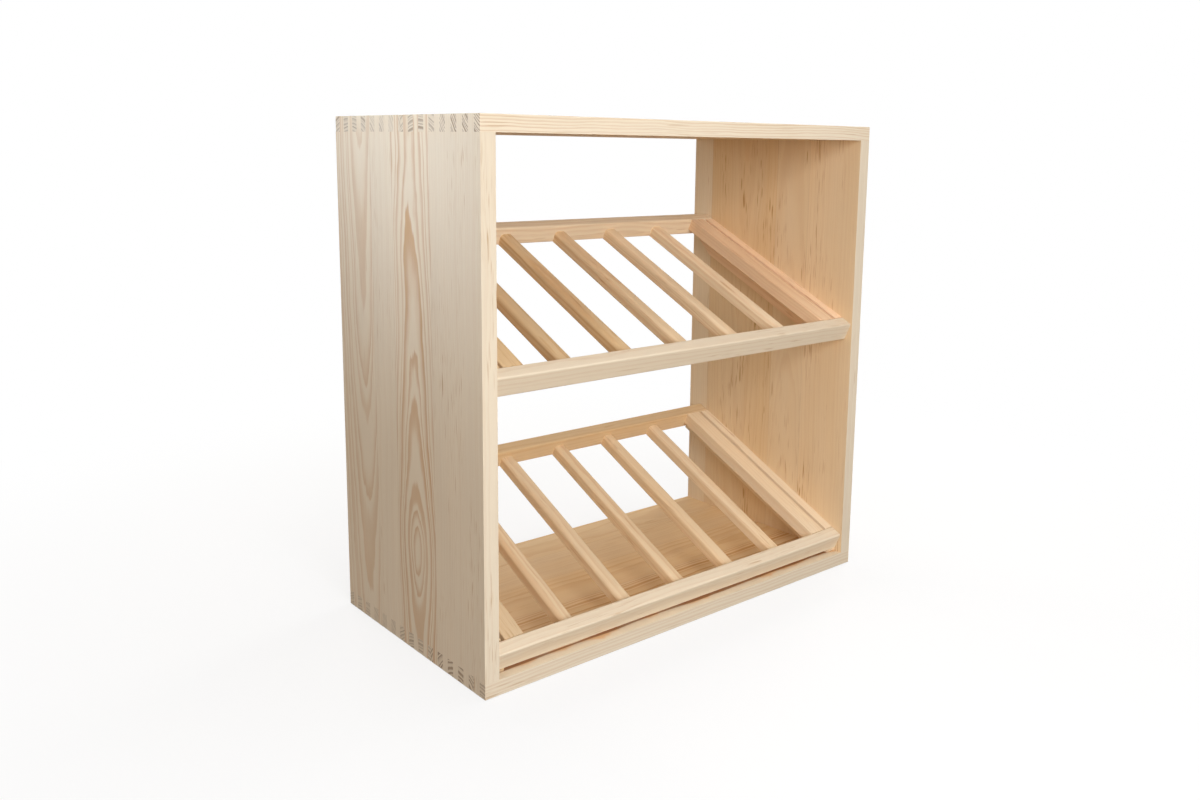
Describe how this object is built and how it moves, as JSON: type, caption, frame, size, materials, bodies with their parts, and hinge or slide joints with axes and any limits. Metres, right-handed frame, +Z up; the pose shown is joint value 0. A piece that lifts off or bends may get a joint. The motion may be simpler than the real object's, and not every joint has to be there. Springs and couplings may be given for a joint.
{
  "type": "wooden wine rack",
  "caption": "Open square wooden wine rack with finger-jointed corners and sloping slatted trays that rest in notched bearers and lift out.",
  "frame": {"origin": "centre of the underside, on the floor", "axes": "+Z up, the front opening faces -Y, +X to the right seen from the front"},
  "size_m": [0.68, 0.35, 0.68],
  "materials": {
    "panel_pine": "sanded, bare",
    "rail_pine": "planed, bare",
    "slat_pine": "planed, bare",
    "bearer_pine": "planed, bare",
    "screw_steel": "zinc plated"
  },
  "bodies": {
    "carcass": {"bottom_panel": "panel_pine", "top_panel": "panel_pine", "left_side_panel": "panel_pine", "right_side_panel": "panel_pine", "upper_left_bearer": "bearer_pine", "upper_right_bearer": "bearer_pine", "lower_left_bearer": "bearer_pine", "lower_right_bearer": "bearer_pine", "upper_left_bearer_screws": "screw_steel", "upper_right_bearer_screws": "screw_steel", "lower_left_bearer_screws": "screw_steel", "lower_right_bearer_screws": "screw_steel"},
    "upper_tray": {"upper_front_rail": "rail_pine", "upper_back_rail": "rail_pine", "upper_slat_1": "slat_pine", "upper_slat_2": "slat_pine", "upper_slat_3": "slat_pine", "upper_slat_4": "slat_pine", "upper_slat_5": "slat_pine", "upper_left_end_slat": "slat_pine", "upper_right_end_slat": "slat_pine"},
    "lower_tray": {"lower_front_rail": "rail_pine", "lower_back_rail": "rail_pine", "lower_slat_1": "slat_pine", "lower_slat_2": "slat_pine", "lower_slat_3": "slat_pine", "lower_slat_4": "slat_pine", "lower_slat_5": "slat_pine", "lower_left_end_slat": "slat_pine", "lower_right_end_slat": "slat_pine"}
  },
  "joints": [
    {"name": "upper_tray_lift", "type": "slide", "parent": "carcass", "child": "upper_tray", "axis": [0, -0.4226, 0.9063], "range_m": [0, 0.045]},
    {"name": "lower_tray_lift", "type": "slide", "parent": "carcass", "child": "lower_tray", "axis": [0, -0.4226, 0.9063], "range_m": [0, 0.045]}
  ]
}
